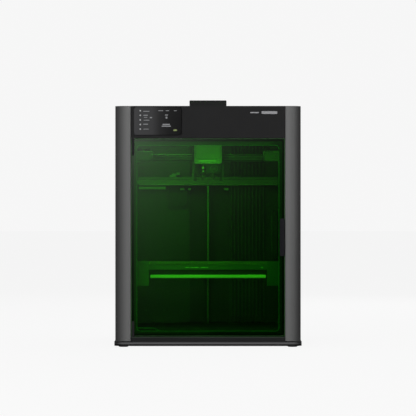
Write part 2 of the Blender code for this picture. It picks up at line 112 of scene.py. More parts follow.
def spread(tree, value, low, high):
    """Noise remapped to low..high."""
    ramp = tree.nodes.new("ShaderNodeMapRange")
    ramp.inputs["From Min"].default_value = NOISE_LOW
    ramp.inputs["From Max"].default_value = NOISE_HIGH
    ramp.inputs["To Min"].default_value = low
    ramp.inputs["To Max"].default_value = high
    link(tree, value, ramp.inputs["Value"])
    return ramp.outputs["Result"]


def tinted(tree, value, dark, light):
    """A colour between dark and light, by noise."""
    ramp = tree.nodes.new("ShaderNodeValToRGB")
    ramp.color_ramp.elements[0].position = NOISE_LOW
    ramp.color_ramp.elements[1].position = NOISE_HIGH
    ramp.color_ramp.elements[0].color = (*dark, 1)
    ramp.color_ramp.elements[1].color = (*light, 1)
    link(tree, value, ramp.inputs["Fac"])
    return ramp.outputs["Color"]


def surface(
    name, colour, roughness, metallic=0.0, grain=900.0, bump=0.15, vary=0.12,
    stretch=None, coat=0.0, specular=0.5,
):
    """A solid finish: its colour and roughness drift a little, and fine grain gives it bump."""
    made, tree, shader = nodes_of(name)
    shader.inputs["Metallic"].default_value = metallic
    shader.inputs["Specular IOR Level"].default_value = specular
    drift = noise(tree, 14.0, 3.0, stretch)
    dark = [c * (1 - vary) for c in colour]
    light = [min(1.0, c * (1 + vary)) for c in colour]
    link(tree, tinted(tree, drift, dark, light), shader.inputs["Base Color"])
    fine = noise(tree, grain, 2.0, stretch)
    link(tree, spread(tree, fine, roughness * 0.88, min(1.0, roughness * 1.12)), shader.inputs["Roughness"])
    if bump:
        height = tree.nodes.new("ShaderNodeBump")
        height.inputs["Strength"].default_value = bump
        height.inputs["Distance"].default_value = 0.0002
        link(tree, fine, height.inputs["Height"])
        link(tree, height.outputs["Normal"], shader.inputs["Normal"])
    if coat:
        shader.inputs["Coat Weight"].default_value = coat
        shader.inputs["Coat Roughness"].default_value = 0.08
    return made


def glowing(name, colour, strength, base=(0.6, 0.6, 0.6)):
    """A lit diffuser or a screen mark."""
    made, tree, shader = nodes_of(name)
    shader.inputs["Roughness"].default_value = 0.4
    drift = noise(tree, 60.0, 2.0)
    link(tree, tinted(tree, drift, [c * 0.94 for c in base], base), shader.inputs["Base Color"])
    shader.inputs["Emission Color"].default_value = (*colour, 1)
    shader.inputs["Emission Strength"].default_value = strength
    return made


def graded(tree, axis, low, high, dark, light, fold=False):
    """A ramp from dark at low to light at high along an object axis, the same on both sides if folded."""
    coordinates = tree.nodes.new("ShaderNodeTexCoord")
    parts = tree.nodes.new("ShaderNodeSeparateXYZ")
    link(tree, coordinates.outputs["Object"], parts.inputs["Vector"])
    place = parts.outputs[axis]
    if fold:
        size = tree.nodes.new("ShaderNodeMath")
        size.operation = "ABSOLUTE"
        link(tree, place, size.inputs[0])
        place = size.outputs["Value"]
    span = tree.nodes.new("ShaderNodeMapRange")
    span.inputs["From Min"].default_value = low
    span.inputs["From Max"].default_value = high
    link(tree, place, span.inputs["Value"])
    ramp = tree.nodes.new("ShaderNodeValToRGB")
    ramp.color_ramp.elements[0].color = (*dark, 1)
    ramp.color_ramp.elements[1].color = (*light, 1)
    link(tree, span.outputs["Result"], ramp.inputs["Fac"])
    return ramp


def shaded(
    name, axis, low, high, dark, light, roughness, fold=False, metallic=0.0, specular=0.5, stretch=None
):
    """A solid material whose colour runs along an axis, with a fine grain; most of these runs are painted light
    and shade. Returns its ramp and nodes too.
    """
    made, tree, shader = nodes_of(name)
    shader.inputs["Metallic"].default_value = metallic
    shader.inputs["Specular IOR Level"].default_value = specular
    ramp = graded(tree, axis, low, high, dark, light, fold)
    link(tree, ramp.outputs["Color"], shader.inputs["Base Color"])
    fine = noise(tree, 1200.0, 2.0, stretch)
    link(tree, spread(tree, fine, roughness * 0.9, min(1.0, roughness * 1.1)), shader.inputs["Roughness"])
    return made, ramp, tree, shader


def tinted_glass(name, through, gloss_roughness=0.02):
    """A pane: each face passes a tint and mirrors a little, more of it at glancing angles."""
    made, tree, shader = nodes_of(name)
    drift = noise(tree, 5.0, 2.0)
    link(tree, tinted(tree, drift, (0.88, 0.90, 0.88), (0.96, 0.98, 0.96)), shader.inputs["Base Color"])
    shader.inputs["Metallic"].default_value = 1.0
    shader.inputs["Roughness"].default_value = gloss_roughness
    clear = tree.nodes.new("ShaderNodeBsdfTransparent")
    clear.inputs["Color"].default_value = (*through, 1)
    facing = tree.nodes.new("ShaderNodeLayerWeight")
    facing.inputs["Blend"].default_value = 0.5
    steep = tree.nodes.new("ShaderNodeMath")
    steep.operation = "POWER"
    steep.inputs[1].default_value = 5.0
    link(tree, facing.outputs["Facing"], steep.inputs[0])
    share = tree.nodes.new("ShaderNodeMath")
    share.operation = "MULTIPLY_ADD"
    share.inputs[1].default_value = 0.9
    share.inputs[2].default_value = 0.04
    link(tree, steep.outputs["Value"], share.inputs[0])
    mix = tree.nodes.new("ShaderNodeMixShader")
    link(tree, share.outputs["Value"], mix.inputs["Fac"])
    link(tree, clear.outputs["BSDF"], mix.inputs[1])
    link(tree, shader.outputs["BSDF"], mix.inputs[2])
    link(tree, mix.outputs["Shader"], tree.nodes["Material Output"].inputs["Surface"])
    return made


def add_steps(ramp, steps, blue):
    """More stops on a grey ramp, each a position and a level."""
    for position, level in steps:
        ramp.color_ramp.elements.new(position).color = (level, level, level * blue, 1)


# Makes the shader glow with the ramp's colour: a painted reflection on the bed's bar, the backlight on the
# screen.
def shine_with(tree, shader, ramp):
    link(tree, ramp.outputs["Color"], shader.inputs["Emission Color"])
    shader.inputs["Emission Strength"].default_value = 1.0


def bar_painted_reflection():
    """The bed's front edge, with a painted reflection of the lamp above it, brighter to the right."""
    paint = (0.80, 0.82, 0.80)
    made, _, tree, shader = shaded("bar_painted_reflection", "X", -0.14, 0.14, paint, paint, 0.7, specular=0.1)
    # painted reflection: the bar glows with the lamp's reflection, more of it to the right
    shine_with(tree, shader, graded(tree, "X", -0.14, 0.14, (0.17, 0.18, 0.17), (0.34, 0.36, 0.34)))
    return made


def flange_painted_light():
    """Dark plastic in level bands, with a painted highlight on its lip over painted shadow below, and painted
    shade darkening its two ends.
    """
    dark = (0.012, 0.012, 0.012)
    made, ramp, tree, shader = shaded("flange_painted_light", "Z", 0.0, 0.0200, dark, dark, 0.6, specular=0.2)
    # painted light in level bands: painted shadow up to 8 mm, a painted highlight to 10.8 mm, a dimmer one to
    # 13.3 mm, then dark again
    ramp.color_ramp.interpolation = "CONSTANT"
    add_steps(ramp, ((0.40, 0.105), (0.54, 0.066), (0.665, 0.012)), 1.02)
    # painted shade: the two rounded ends darken to about a quarter
    ends = graded(tree, "X", 0.2180, 0.2350, (1, 1, 1), (0.28, 0.28, 0.28), True)
    darker = tree.nodes.new("ShaderNodeVectorMath")
    darker.operation = "MULTIPLY"
    link(tree, ramp.outputs["Color"], darker.inputs[0])
    link(tree, ends.outputs["Color"], darker.inputs[1])
    link(tree, darker.outputs["Vector"], shader.inputs["Base Color"])
    return made


def screen_glass():
    """Black glass with a backlight that fades to the right."""
    left, right = -0.190, -0.066
    made, _, tree, shader = shaded(
        "screen_glass", "X", left, right, (0.010, 0.010, 0.010), (0.003, 0.003, 0.003), 0.12, specular=0.10
    )
    backlight = graded(tree, "X", left, right, (0.029, 0.029, 0.031), (0.0002, 0.0002, 0.0003))
    add_steps(backlight, ((0.38, 0.027), (0.53, 0.009), (0.72, 0.002)), 1.05)
    shine_with(tree, shader, backlight)
    return made


MATERIALS = {
    "dark_plastic": surface("dark_plastic", (0.0175, 0.0175, 0.018), 0.55),
    "header": surface("header_plastic", (0.0155, 0.0155, 0.0158), 0.62, bump=0.08, vary=0.04, specular=0.12),
    "dark_soft": surface("dark_soft", (0.0125, 0.0130, 0.0130), 0.60, bump=0.08, vary=0.06, specular=0.15),
    "frame_grey": surface("frame_grey", (0.072, 0.075, 0.072), 0.55, bump=0.1, vary=0.05, specular=0.2),
    "panel_grey": surface("panel_grey", (0.058, 0.059, 0.061), 0.52, grain=1300.0, bump=0.3),
    "screw_steel": surface("screw_steel", (0.62, 0.62, 0.63), 0.22, 1.0, 700.0, 0.0, 0.04),
    "steel": surface("steel", (0.30, 0.30, 0.31), 0.36, 0.9, 700.0, 0.08, 0.08, (0.08, 1, 1)),
    "bright_steel": surface("bright_steel", (0.62, 0.62, 0.63), 0.25, 1.0, 900.0, 0.05),
    "aluminium": surface("aluminium", (0.42, 0.42, 0.43), 0.40, 0.85),
    "bed_bar": surface("bed_bar", (0.80, 0.82, 0.80), 0.70, 0.0, bump=0.08, vary=0.03, specular=0.1),
    "cover_grey": surface("cover_grey", (0.56, 0.57, 0.57), 0.55, bump=0.08, vary=0.03, specular=0.2),
    "build_sheet": surface("build_sheet", (0.21, 0.185, 0.13), 0.60, grain=2600.0, bump=0.6, vary=0.2),
    "bed_grey": surface("bed_grey", (0.17, 0.175, 0.175), 0.55, vary=0.08),
    "brass": surface("brass", (0.66, 0.47, 0.20), 0.30, 0.95),
    "rubber": surface("rubber", (0.010, 0.010, 0.010), 0.85, grain=500.0, bump=0.4),
    "motor_black": surface("motor_black", (0.013, 0.013, 0.014), 0.45),
    "board_green": surface("board_green", (0.01, 0.085, 0.03), 0.35, coat=0.4),
    "wall_dark": surface("wall_dark", (0.050, 0.052, 0.050), 0.60, grain=1100.0, bump=0.25),
    "lamp": glowing("lamp_cover", (1.0, 1.0, 0.95), 0.5),
    "bar_lamp": glowing("bar_lamp", (1.0, 1.0, 0.97), 0.07, (0.22, 0.22, 0.22)),
    "screen_mark": glowing("screen_mark", (0.75, 0.78, 0.80), 0.20, (0.2, 0.2, 0.2)),
    "screen_dim": glowing("screen_dim", (0.45, 0.47, 0.50), 0.22, (0.1, 0.1, 0.1)),
    "screen_card": glowing("screen_card", (0.05, 0.05, 0.055), 0.14, (0.008, 0.008, 0.008)),
    "screen_pill": glowing("screen_pill", (0.65, 0.80, 0.25), 0.16, (0.1, 0.12, 0.05)),
    "mark": surface("mark_ink", (0.27, 0.27, 0.28), 0.5, bump=0.0, vary=0.04),
    "line": surface("inner_line", (0.42, 0.50, 0.38), 0.5, bump=0.0, vary=0.05),
    "frit": surface("frit_black", (0.010, 0.016, 0.010), 0.25, bump=0.0, vary=0.1, coat=0.3),
    "glass_edge": surface("glass_edge", (0.03, 0.11, 0.025), 0.25, bump=0.0, vary=0.1),
    "door_glass": tinted_glass("door_glass", (0.19, 0.66, 0.10)),
    "side_glass": tinted_glass("side_glass", (0.32, 0.60, 0.27)),
    # a painted highlight for the sill's top edge
    "sill_edge": surface("sill_edge", (0.026, 0.034, 0.027), 0.55, bump=0.05, vary=0.05, specular=0.2),
    # the bed's front bar, with a painted reflection of the lamp above it
    "bar_painted_reflection": bar_painted_reflection(),
    "grip": surface("door_grip", (0.0065, 0.0065, 0.0085), 0.5, bump=0.1, specular=0.15),
    # painted shade: each column is lighter at its inner edge by the door and darker towards its outer edge,
    # where its round front turns away from the light
    "column": shaded(
        "column_painted_shade", "X", 0.2065, 0.2345, (0.150, 0.151, 0.150), (0.038, 0.038, 0.038), 0.5,
        fold=True, metallic=0.25, specular=0.3, stretch=(1, 1, 0.05),
    )[0],
    "flange": flange_painted_light(),
    # painted shade: the rear wall turns darker from x = -0.05 rightwards, over the central recess and the ribs
    "rear_wall_painted_shade": shaded(
        "rear_wall_painted_shade", "X", -0.0500, -0.0496, (0.050, 0.052, 0.050), (0.030, 0.031, 0.030), 0.6, specular=0.15
    )[0],
    # painted shade: the door frame darkens towards the bottom
    "frame_painted_shade": shaded(
        "frame_painted_shade", "Z", 0.04, 0.54, (0.030, 0.031, 0.030), (0.082, 0.085, 0.082), 0.55, specular=0.2
    )[0],
    # painted shade: the ledge darkens from left to right
    "ledge_painted_shade": shaded(
        "ledge_painted_shade", "X", -0.16, 0.19, (0.115, 0.118, 0.115), (0.095, 0.097, 0.095), 0.6, specular=0.15
    )[0],
    "hotend": surface("hotend", (0.10, 0.085, 0.055), 0.55, 0.2, specular=0.2),
    "head_grey": surface("head_grey", (0.090, 0.092, 0.090), 0.6, specular=0.2),
    "rail": surface("rail", (0.115, 0.118, 0.118), 0.60, 0.0, bump=0.0, vary=0.04, specular=0.2),
    "screen_glass": screen_glass(),
    "chute_grey": surface("chute_rim", (0.035, 0.037, 0.035), 0.6),
    "carriage_plate": surface("carriage_plate", (0.34, 0.345, 0.34), 0.6, specular=0.2),
    "strip": glowing("cover_strip", (0.9, 1.0, 0.9), 0.42),
    "cheek_grey": surface("cheek_grey", (0.075, 0.077, 0.075), 0.6),
}

FINISH = {
    "base_flange": "flange", "front_sill": "dark_soft", "chamber_floor": "dark_plastic",
    "left_front_column": "column", "right_front_column": "column", "header_panel": "header",
    "touchscreen": "screen_glass", "door_frame": "frame_painted_shade", "left_side_panel": "panel_grey",
    "right_side_panel": "panel_grey", "left_side_window": "side_glass", "right_side_window": "side_glass",
    "rear_panel": "panel_grey", "rear_top_deck": "header", "cable_dome": "header",
    "chamber_rear_wall": "rear_wall_painted_shade", "rear_ledge": "ledge_painted_shade", "chamber_light_bar": "bar_lamp",
    "left_y_beam": "wall_dark", "right_y_beam": "wall_dark", "left_xy_motor": "motor_black",
    "right_xy_motor": "motor_black", "z_motor": "motor_black", "z_belt": "rubber",
    "power_supply": "aluminium", "main_board": "board_green", "power_inlet": "dark_plastic",
    "exhaust_fan_housing": "motor_black", "left_xy_pulley": "aluminium", "right_xy_pulley": "aluminium",
    "z_motor_pulley": "aluminium", "left_lead_screw": "screw_steel", "right_lead_screw": "screw_steel",
    "rear_lead_screw": "screw_steel", "exhaust_fan_rotor": "motor_black", "power_rocker": "motor_black",
    "door_glass": "door_glass", "door_handle": "grip", "upper_hinge": "dark_soft",
    "lower_hinge": "dark_soft", "top_glass": "side_glass", "cross_beam": "bed_grey",
    "left_y_carriage": "bed_grey", "right_y_carriage": "bed_grey", "tool_head_frame": "head_grey",
    "tool_head_cover": "cover_grey", "left_hotend": "hotend", "right_hotend": "hotend",
    "tool_fan_rotor": "dark_plastic", "build_plate": "build_sheet", "heatbed": "bed_grey",
    "bed_carrier": "wall_dark", "bed_front_bar": "bar_painted_reflection", "bed_left_bracket": "bed_grey",
    "bed_right_bracket": "bed_grey",
}


def dress_cad():
    for name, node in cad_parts.items():
        finish = MATERIALS[FINISH.get(name, "rubber")]
        node.data.materials.clear()
        node.data.materials.append(finish)


# ---------------------------------------------------------------- shapes


def low_high(node):
    """The lowest and the highest corner of a CAD node's box."""
    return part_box(node)


def about(middle, half):
    return (middle - half, middle + half)


def mirrored(side, inner, outer):
    """The span from inner to outer, on the left for side -1 and on the right for side 1."""
    return tuple(sorted((side * inner, side * outer)))


def piece_from(name, bm, finish, body="root", smooth=False):
    """The bmesh as a piece that rides on the body."""
    bmesh.ops.recalc_face_normals(bm, faces=bm.faces)
    mesh = bpy.data.meshes.new(name)
    bm.to_mesh(mesh)
    bm.free()
    if smooth:
        mesh.shade_smooth()
        mesh.set_sharp_from_angle(angle=math.radians(38))
    mesh.materials.append(MATERIALS[finish])
    made = bpy.data.objects.new(name, mesh)
    bpy.context.scene.collection.objects.link(made)
    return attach(made, body)


def soften(piece, width):
    bevel = piece.modifiers.new("Bevel", "BEVEL")
    bevel.width = width
    bevel.segments = 2
    bevel.limit_method = "ANGLE"
    bevel.angle_limit = math.radians(40)
    return piece


def add_block(bm, x, y, z, turn=None):
    """A box over three spans, turned about its own middle, added to the bmesh."""
    made = bmesh.ops.create_cube(bm, size=1.0)["verts"]
    bmesh.ops.scale(bm, vec=(x[1] - x[0], y[1] - y[0], z[1] - z[0]), verts=made)
    if turn:
        bmesh.ops.rotate(bm, cent=(0, 0, 0), matrix=turn, verts=made)
    bmesh.ops.translate(bm, vec=(sum(x) / 2, sum(y) / 2, sum(z) / 2), verts=made)
    return made


def add_rod(bm, place, radius, length, axis="Z", sides=16):
    """A cylinder centred on place."""
    made = bmesh.ops.create_cone(
        bm, cap_ends=True, segments=sides, radius1=radius, radius2=radius, depth=length
    )["verts"]
    if axis != "Z":
        turn = Matrix.Rotation(math.pi / 2, 3, "X" if axis == "Y" else "Y")
        bmesh.ops.rotate(bm, cent=(0, 0, 0), matrix=turn, verts=made)
    bmesh.ops.translate(bm, vec=place, verts=made)


def arc(centre, radius, start, end, steps):
    turns = (math.radians(start + (end - start) * i / steps) for i in range(steps + 1))
    return [(centre[0] + radius * math.cos(t), centre[1] + radius * math.sin(t)) for t in turns]


def circles(a, b, *radii, sides=24):
    """Circles round one point, as outlines."""
    return [arc((a, b), radius, 0, 360 - 360 / sides, sides - 1) for radius in radii]


def rounded(a, b, radius, steps=5):
    """A rectangle over two spans, with round corners."""
    (left, right), (low, high) = a, b
    return (
        arc((right - radius, high - radius), radius, 0, 90, steps)
        + arc((left + radius, high - radius), radius, 90, 180, steps)
        + arc((left + radius, low + radius), radius, 180, 270, steps)
        + arc((right - radius, low + radius), radius, 270, 360, steps)
    )


def point_on(axis, a, b, level):
    point = [a, b]
    point.insert("XYZ".index(axis), level)
    return point


def add_prism(bm, outline, span, axis="Z"):
    corners = [bm.verts.new(point_on(axis, a, b, span[0])) for a, b in outline]
    face = bm.faces.new(corners)
    grown = bmesh.ops.extrude_face_region(bm, geom=[face])["geom"]
    push = point_on(axis, 0, 0, span[1] - span[0])
    bmesh.ops.translate(bm, vec=push, verts=[v for v in grown if isinstance(v, bmesh.types.BMVert)])


def add_ring(bm, outer, inner, span, axis="Z"):
    """A closed band between two outlines with as many points as each other."""
    loops = [
        [bm.verts.new(point_on(axis, a, b, level)) for a, b in outline]
        for outline, level in ((outer, span[0]), (outer, span[1]), (inner, span[1]), (inner, span[0]))
    ]
    count = len(outer)
    for first, second in zip(loops, loops[1:] + loops[:1]):
        for i in range(count):
            j = (i + 1) % count
            bm.faces.new((first[i], first[j], second[j], second[i]))


def bevelled(name, x, y, z, finish, body="root", bevel=0.0006):
    """One box with soft edges."""
    return soften(blocks(name, [(x, y, z)], finish, body, smooth=True), bevel)


def blocks(name, spans, finish, body="root", smooth=False):
    """Boxes as one piece, each over its x, y and z spans."""
    bm = bmesh.new()
    for x, y, z in spans:
        add_block(bm, x, y, z)
    return piece_from(name, bm, finish, body, smooth)


def rods(name, shapes, finish, body="root", axis="Z", sides=20):
    """Rods as one piece, each a place, a radius and a length."""
    bm = bmesh.new()
    for place, radius, length in shapes:
        add_rod(bm, place, radius, length, axis, sides)
    return piece_from(name, bm, finish, body, smooth=True)


def ring(name, outer, inner, span, finish, body="root", axis="Z", smooth=False):
    bm = bmesh.new()
    add_ring(bm, outer, inner, span, axis)
    return piece_from(name, bm, finish, body, smooth)


def prisms(name, outlines, span, finish, axis, body="root", smooth=False):
    bm = bmesh.new()
    for outline in outlines:
        add_prism(bm, outline, span, axis)
    return piece_from(name, bm, finish, body, smooth)


def screws(name, places, radius, finish, body="root", axis="Y", out=-1, depth=0.0012):
    """Socket-head screws, each with a six-sided hollow, proud of a face by depth."""
    bm = bmesh.new()
    index = "XYZ".index(axis)
    for place in places:
        centre = Vector(place)
        centre[index] += out * depth / 2
        level = centre[index]
        flat = [centre[i] for i in range(3) if i != index]
        outer, inner = circles(*flat, radius, radius * 0.5, sides=12)
        add_ring(bm, outer, inner, about(level, depth / 2), axis)
        add_prism(bm, inner[::2], (level - depth / 2, level + out * -0.0001), axis)
    return piece_from(name, bm, finish, body, smooth=True)


# ---------------------------------------------------------------- outside


def make_header():
    """The touchscreen's glyphs and the plain mark on the right of the header."""
    low, high = low_high("touchscreen")
    face = low.y
    wide, tall = high.x - low.x, high.z - low.z

    def marks(name, finish, shapes, lift=0.00012):
        """Rounded bars, each a middle, a size and a corner radius as shares of the screen."""
        outlines = []
        for u, v, w, h, radius in shapes:
            a = (low.x + (u - w / 2) * wide, low.x + (u + w / 2) * wide)
            b = (low.z + (v - h / 2) * tall, low.z + (v + h / 2) * tall)
            outlines.append(rounded(a, b, radius * tall, 3))
        prisms(name, outlines, (face + 0.0001, face + 0.0001 - lift), finish, "Y")

    rows = (0.86, 0.70, 0.54, 0.38, 0.22)
    marks("screen_icons", "screen_mark", [(0.14, v, 0.030, 0.050, 0.02) for v in rows])
    marks("screen_bars", "screen_dim", [
        (0.265, 0.84, 0.13, 0.022, 0.008), (0.56, 0.86, 0.10, 0.022, 0.008),
        (0.70, 0.86, 0.07, 0.022, 0.008), (0.86, 0.86, 0.06, 0.022, 0.008),
        (0.25, 0.70, 0.09, 0.030, 0.008), (0.25, 0.63, 0.07, 0.022, 0.008), (0.36, 0.62, 0.05, 0.04, 0.01),
        (0.27, 0.53, 0.12, 0.022, 0.008), (0.25, 0.39, 0.10, 0.030, 0.008), (0.26, 0.22, 0.11, 0.022, 0.008),
    ])
    marks("screen_card", "screen_card", [(0.68, 0.47, 0.36, 0.62, 0.03)], 0.00006)
    shapes = [(0.675, 0.32, 0.19, 0.035, 0.01), (0.68, 0.62, 0.035, 0.07, 0.01)]
    marks("screen_preview", "screen_dim", shapes)
    shapes = [(0.675, 0.38, 0.15, 0.045, 0.01), (0.68, 0.71, 0.06, 0.035, 0.01)]
    marks("screen_preview_slab", "screen_dim", shapes)
    marks("screen_pill", "screen_pill", [(0.86, 0.18, 0.075, 0.055, 0.025)])
    header_face = low_high("header_panel")[0].y
    bars = ((0.108, 0.130), (0.5985, 0.6015)), ((0.137, 0.177), (0.5965, 0.6035))
    outlines = [rounded(a, b, 0.0014, 3) for a, b in bars]
    prisms("header_mark", outlines, (header_face + 0.0001, header_face - 0.0002), "mark", "Y")
    outer = rounded((low.x - 0.0003, high.x + 0.0003), (low.z - 0.0003, high.z + 0.0003), 0.008)
    inner = rounded((low.x + 0.0014, high.x - 0.0014), (low.z + 0.0014, high.z - 0.0014), 0.007)
    ring("screen_rim", outer, inner, (face + 0.0002, face), "dark_plastic", axis="Y", smooth=True)


def make_columns():
    """A seal beside each front column and a foot under it."""
    for side, name in ((-1, "left"), (1, "right")):
        low, high = low_high(f"{name}_front_column")
        inner = low.x if side > 0 else high.x
        lip = sorted((inner, inner - side * 0.0006))
        spans = lip, (low.y + 0.006, low.y + 0.016), (low.z, high.z - 0.001)
        bevelled(f"{name}_column_seal", *spans, "rubber", bevel=0.0002)
        spans = mirrored(side, 0.1990, 0.2362), (low.y + 0.003, high.y - 0.003), (low.z - 0.0019, low.z)
        lower = bevelled(f"{name}_column_foot", *spans, "dark_plastic", bevel=0.0005)


def make_base():
    """A painted highlight along the sill's top edge, and the rings round the feet."""
    low, high = low_high("front_sill")
    spans = (low.x, high.x), (low.y - 0.0003, low.y + 0.0006), (high.z - 0.0024, high.z)
    # painted highlight: a lighter green strip along the sill's top edge
    bevelled("sill_lip", *spans, "sill_edge", bevel=0.0003)
    for name in ("foot_front_left", "foot_front_right", "foot_rear_left", "foot_rear_right"):
        low, high = low_high(name)
        middle = (low + high) / 2
        outlines = circles(middle.x, middle.y, 0.0130, 0.0116)
        ring(f"{name}_collar", *outlines, (0.0014, 0.0029), "dark_plastic", smooth=True)


def make_door():
    """Inner line with its stepped corner, edge line, seal and grip."""
    low, high = low_high("door_glass")
    back, front = high.y, low.y
    line = (back + 0.0003, back + 0.0009)
    outer = rounded((-0.1826, 0.1820), (0.0405, 0.5172), 0.009)
    inner = rounded((-0.1814, 0.1808), (0.0417, 0.5160), 0.008)
    ring("door_inner_line", outer, inner, line, "line", "door", "Y", smooth=True)
    path = [(-0.1814, 0.0482), (-0.1420, 0.0482), (-0.1335, 0.0462), (-0.1250, 0.0405)]
    step = [(x, z + 0.0013) for x, z in path] + path[::-1]
    prisms("door_corner_step", [step], line, "line", "Y", "door")
    outer = rounded((low.x, high.x), (low.z, high.z), 0.0012)
    inner = rounded((low.x + 0.0007, high.x - 0.0007), (low.z + 0.0007, high.z - 0.0007), 0.001)
    ring("door_edge", outer, inner, (front - 0.0002, front + 0.0006), "glass_edge", "door", "Y", smooth=True)
    outer = rounded((-0.1945, 0.1945), (0.0300, 0.5320), 0.004)
    inner = rounded((-0.1900, 0.1900), (0.0345, 0.5275), 0.003)
    seal = ring("door_seal", outer, inner, (back + 0.0004, back + 0.0034), "rubber", "door", "Y", smooth=True)
    soften(seal, 0.0008)
    handle_low, handle_high = low_high("door_handle")
    x, z = (handle_low.x, handle_high.x), (handle_low.z, handle_high.z)
    bm = bmesh.new()
    add_prism(bm, rounded(x, z, 0.0030), (handle_low.y, front), "Y")
    hold = rounded((x[0] + 0.0005, x[1]), (z[0] + 0.004, z[1] - 0.004), 0.0030)
    add_prism(bm, hold, (back, back + 0.0035), "Y")
    grip = soften(piece_from("door_grip", bm, "grip", "door", smooth=True), 0.0007)
    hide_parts("door_handle")
    levels = [z[0] + 0.018 + i * (z[1] - z[0] - 0.036) / 10 for i in range(11)]
    ridge = (x[0] + 0.0022, x[0] + 0.0034), (back + 0.0034, back + 0.0040)
    blocks("grip_ridges", [(*ridge, about(level, 0.002)) for level in levels], "rubber", "door")


def make_sides():
    """Black borders on the side windows, and louvres, frames and screws on the side panels."""
    for side, name in ((-1, "left"), (1, "right")):
        low, high = low_high(f"{name}_side_window")
        face = low.x if side > 0 else high.x
        outer = rounded((low.y, high.y), (low.z, high.z), 0.001)
        inner = rounded((low.y + 0.022, high.y - 0.055), (low.z + 0.020, high.z - 0.062), 0.014)
        span = sorted((face, face - side * 0.0003))
        ring(f"{name}_window_border", outer, inner, span, "frit", axis="X")
        low, high = low_high(f"{name}_side_panel")
        face = high.x if side > 0 else low.x
        outlines = [
            rounded((y, y + 0.0045), (0.045, 0.105), 0.0022, 4) for y in (0.075 + i * 0.0105 for i in range(14))
        ]
        span = sorted((face - side * SLOT_ROOT, face + side * SLOT_PROUD))
        prisms(f"{name}_vent_slots", outlines, span, "rubber", "X")
        outer = rounded((0.066, 0.226), (0.036, 0.114), 0.008)
        inner = rounded((0.068, 0.224), (0.038, 0.112), 0.007)
        span = sorted((face - side * SLOT_ROOT, face + side * 0.00025))
        ring(f"{name}_vent_frame", outer, inner, span, "dark_plastic", axis="X")
        places = [(face - side * 0.0005, y, z) for y in (-0.200, 0.236) for z in (0.028, 0.222)]
        screws(f"{name}_panel_screws", places, 0.0028, "steel", axis="X", out=side, depth=0.0010)


def make_top():
    """Border and finger pull of the lid, slots in the deck, and a seam and tube fittings on the dome."""
    low, high = low_high("top_glass")
    outer = rounded((low.x, high.x), (low.y, high.y), 0.003)
    inner = rounded((low.x + 0.030, high.x - 0.030), (low.y + 0.016, high.y - 0.022), 0.010)
    ring("lid_border", outer, inner, (low.z - 0.0003, low.z), "frit", "lid")
    outer = rounded((-0.040, 0.040), (low.y + 0.002, low.y + 0.013), 0.005)
    inner = rounded((-0.037, 0.037), (low.y + 0.004, low.y + 0.011), 0.0035)
    span = (high.z - 0.0002, high.z + 0.0014)
    soften(ring("lid_finger_pull", outer, inner, span, "dark_plastic", "lid", smooth=True), 0.0004)
    top = low_high("rear_top_deck")[1].z
    middles = [side * (0.085 + i * 0.011) for side in (-1, 1) for i in range(12)]
    outlines = [rounded(about(x, 0.0024), (0.155, 0.225), 0.0024, 4) for x in middles]
    prisms("deck_vent_slots", outlines, (top - SLOT_ROOT, top + SLOT_PROUD), "rubber", "Z")
    low, high = low_high("cable_dome")
    outer = rounded((low.x, high.x), (low.y, high.y), 0.010, 4)
    inner = rounded((low.x + 0.0012, high.x - 0.0012), (low.y + 0.0012, high.y - 0.0012), 0.0088, 4)
    ring("dome_seam", outer, inner, (0.6215, 0.6225), "rubber")
    shapes = []
    for x in (-0.030, -0.010, 0.010, 0.030):
        shapes.append(((x, high.y + 0.004, 0.634), 0.0055, 0.008))
        shapes.append(((x, high.y + 0.0095, 0.634), 0.0042, 0.004))
    rods("tube_fittings", shapes, "motor_black", axis="Y")


def make_rear():
    """Fan guard, vent slots, screws, the inlet's pins and the rocker's symbols."""
    face = low_high("rear_panel")[1].y
    low, high = low_high("exhaust_fan_rotor")
    fan = (low + high) / 2
    bm = bmesh.new()
    for radius in (0.0255, 0.0195, 0.0135, 0.0075):
        outlines = circles(fan.x, fan.z, radius, radius - 0.0016, sides=40)
        add_ring(bm, *outlines, (face - 0.0022, face - 0.0006), "Y")
    for i in range(6):
        turn = Matrix.Rotation(math.pi * i / 6, 3, "Y")
        made = add_block(bm, (-0.0278, 0.0278), (-0.0007, 0.0007), (-0.0008, 0.0008), turn)
        bmesh.ops.translate(bm, vec=(fan.x, face - 0.0030, fan.z), verts=made)
    piece_from("fan_guard", bm, "dark_plastic", smooth=True)
    outlines = []
    for row in range(3):
        z = (0.130 + row * 0.058, 0.176 + row * 0.058)
        outlines += [rounded((x, x + 0.0038), z, 0.0018, 3) for x in (0.030 + i * 0.0078 for i in range(16))]
    prisms("rear_vent_slots", outlines, (face - SLOT_ROOT, face + SLOT_PROUD), "rubber", "Y")
    places = [(x, face - 0.0008, z) for x in (-0.225, 0.0, 0.225) for z in (0.03, 0.31, 0.595)]
    screws("rear_panel_screws", places, 0.0030, "steel", out=1, depth=0.0009)
    middle = 0.175
    pins = [
        (about(middle + dx, 0.001), (0.2405, 0.2500), about(z, 0.0021))
        for dx, z in ((-0.0062, 0.0395), (0.0062, 0.0395), (0.0, 0.0455))
    ]
    blocks("inlet_pins", pins, "bright_steel")
    face = low_high("power_rocker")[1].y
    ink = (face, face + 0.00025)
    bm = bmesh.new()
    add_block(bm, about(middle, 0.0008), ink, (0.0675, 0.0705))
    add_ring(bm, *circles(middle, 0.0615, 0.0018, 0.0012), ink, "Y")
    piece_from("rocker_symbols", bm, "mark", "rocker")


# ---------------------------------------------------------------- chamber


